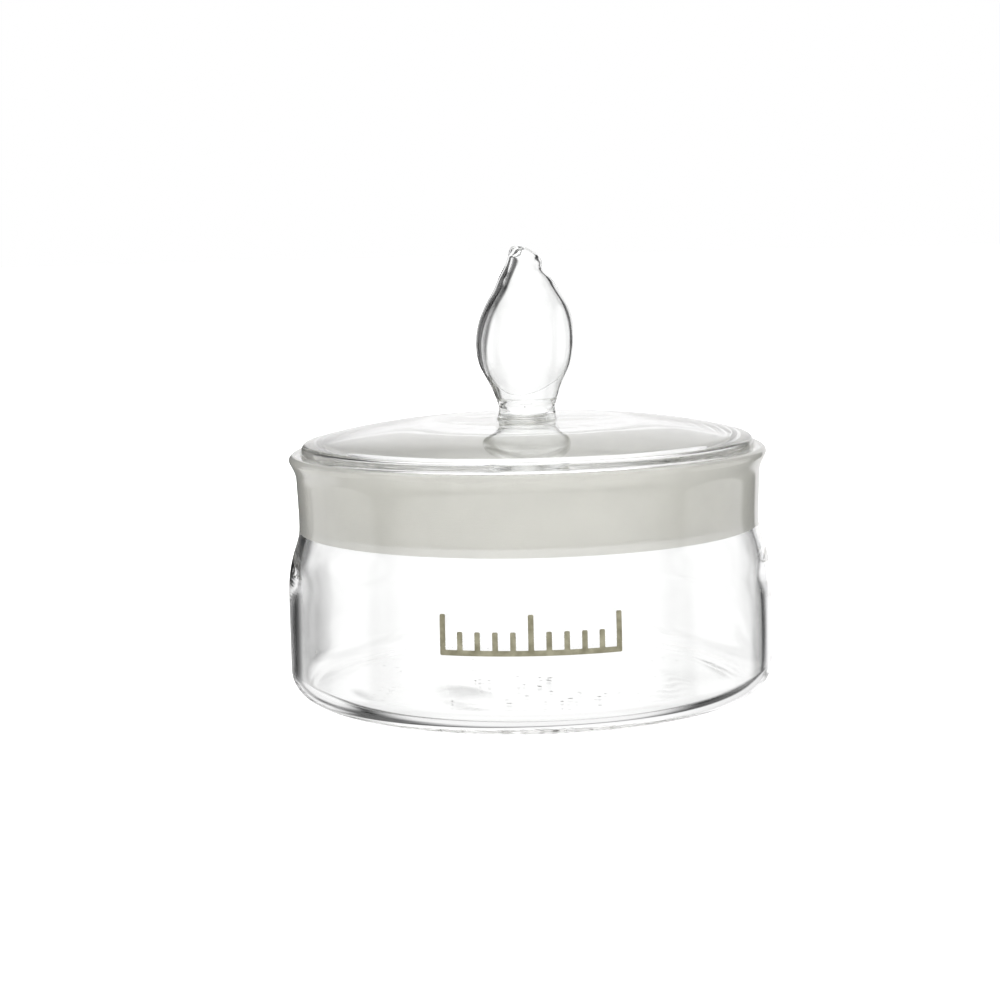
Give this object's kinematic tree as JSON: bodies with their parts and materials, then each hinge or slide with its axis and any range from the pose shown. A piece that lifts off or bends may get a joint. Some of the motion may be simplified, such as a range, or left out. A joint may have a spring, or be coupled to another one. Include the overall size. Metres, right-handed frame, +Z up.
{
  "type": "weighing bottle",
  "caption": "Squat clear glass weighing bottle with a ground neck, closed by a hollow ground-in stopper with a blown tear-shaped handle.",
  "frame": {"origin": "centre of the flat face that the bottle stands on", "axes": "+Z up along the axis of revolution of the bottle and the stopper; -Y is the front, where the enamel mark is"},
  "size_m": [0.07, 0.0701, 0.064],
  "materials": {
    "bottle_glass": "clear fire-polished glass, frosted where the neck is ground",
    "stopper_glass": "clear fire-polished glass, frosted where the skirt is ground",
    "handle_glass": "clear fire-polished glass with a few small bubbles",
    "fired_enamel": "satin olive-grey fired enamel"
  },
  "bodies": {
    "bottle": {"bottle_body": "bottle_glass", "size_mark": "fired_enamel"},
    "stopper": {"stopper_plug": "stopper_glass", "stopper_handle": "handle_glass"}
  },
  "joints": [
    {"name": "stopper_lift", "type": "slide", "parent": "bottle", "child": "stopper", "axis": [0, 0, 1], "range_m": [0, 0.04]}
  ]
}
